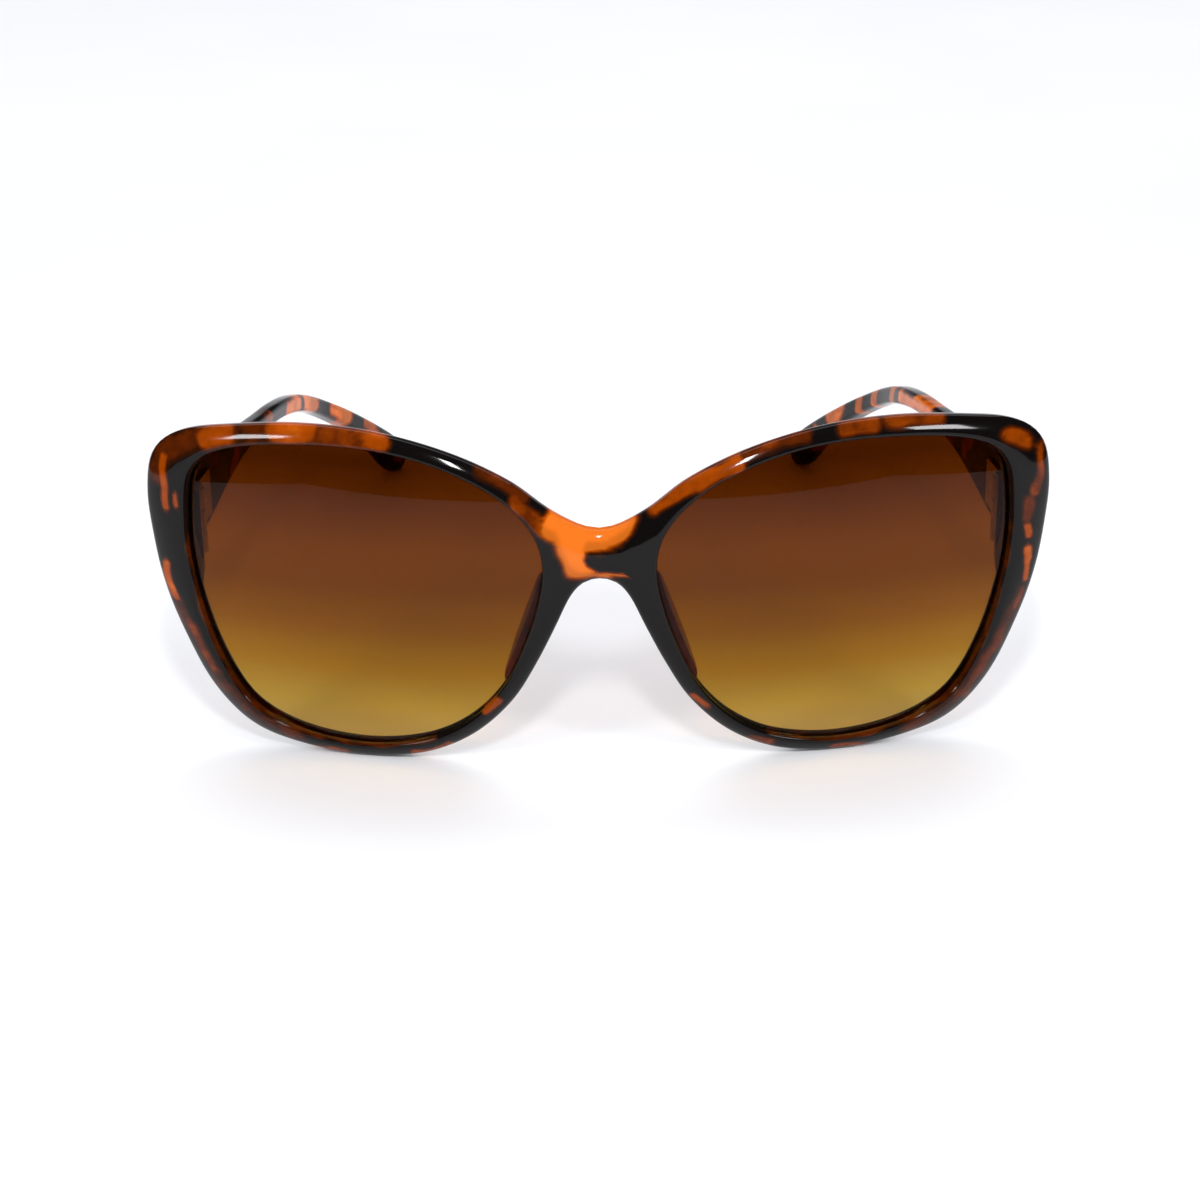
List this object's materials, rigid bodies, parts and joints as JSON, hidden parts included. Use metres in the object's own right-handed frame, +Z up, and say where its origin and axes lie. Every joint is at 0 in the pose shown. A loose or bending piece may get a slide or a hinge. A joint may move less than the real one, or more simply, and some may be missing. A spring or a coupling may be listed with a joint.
{
  "type": "cat eye sunglasses",
  "caption": "Cat eye sunglasses with a curved tortoiseshell acetate front, gradient brown lenses and slim temples that fold on barrel hinges.",
  "frame": {"origin": "middle of the footprint, on the surface that the pair stands on with its temples open", "axes": "+X towards the wearer's left temple, -Y the way the wearer looks, +Z up"},
  "size_m": [0.1466, 0.1443, 0.0578],
  "materials": {
    "tortoise_acetate": "polished",
    "lens_tint": "polished, brown gradient tint",
    "hinge_metal": "satin",
    "screw_steel": "satin"
  },
  "bodies": {
    "front": {"front_frame": "tortoise_acetate", "lens_left": "lens_tint", "lens_right": "lens_tint", "nose_pad_left": "tortoise_acetate", "nose_pad_right": "tortoise_acetate", "front_hinge_leaf_left": "hinge_metal", "front_hinge_leaf_right": "hinge_metal", "hinge_screw_left": "screw_steel", "hinge_screw_right": "screw_steel", "front_leaf_screw_upper_left": "screw_steel", "front_leaf_screw_upper_right": "screw_steel", "front_leaf_screw_lower_left": "screw_steel", "front_leaf_screw_lower_right": "screw_steel"},
    "temple_left": {"temple_left": "tortoise_acetate", "temple_hinge_leaf_left": "hinge_metal", "temple_leaf_screw_front_left": "screw_steel", "temple_leaf_screw_rear_left": "screw_steel"},
    "temple_right": {"temple_right": "tortoise_acetate", "temple_hinge_leaf_right": "hinge_metal", "temple_leaf_screw_front_right": "screw_steel", "temple_leaf_screw_rear_right": "screw_steel"}
  },
  "joints": [
    {"name": "left_temple_hinge", "type": "hinge", "parent": "front", "child": "temple_left", "pos_m": [0.06625, -0.05035, 0.037], "axis": [0, 0, 1], "range_deg": [0, 80]},
    {"name": "right_temple_hinge", "type": "hinge", "parent": "front", "child": "temple_right", "pos_m": [-0.06625, -0.05035, 0.037], "axis": [0, 0, -1], "range_deg": [0, 72]}
  ]
}
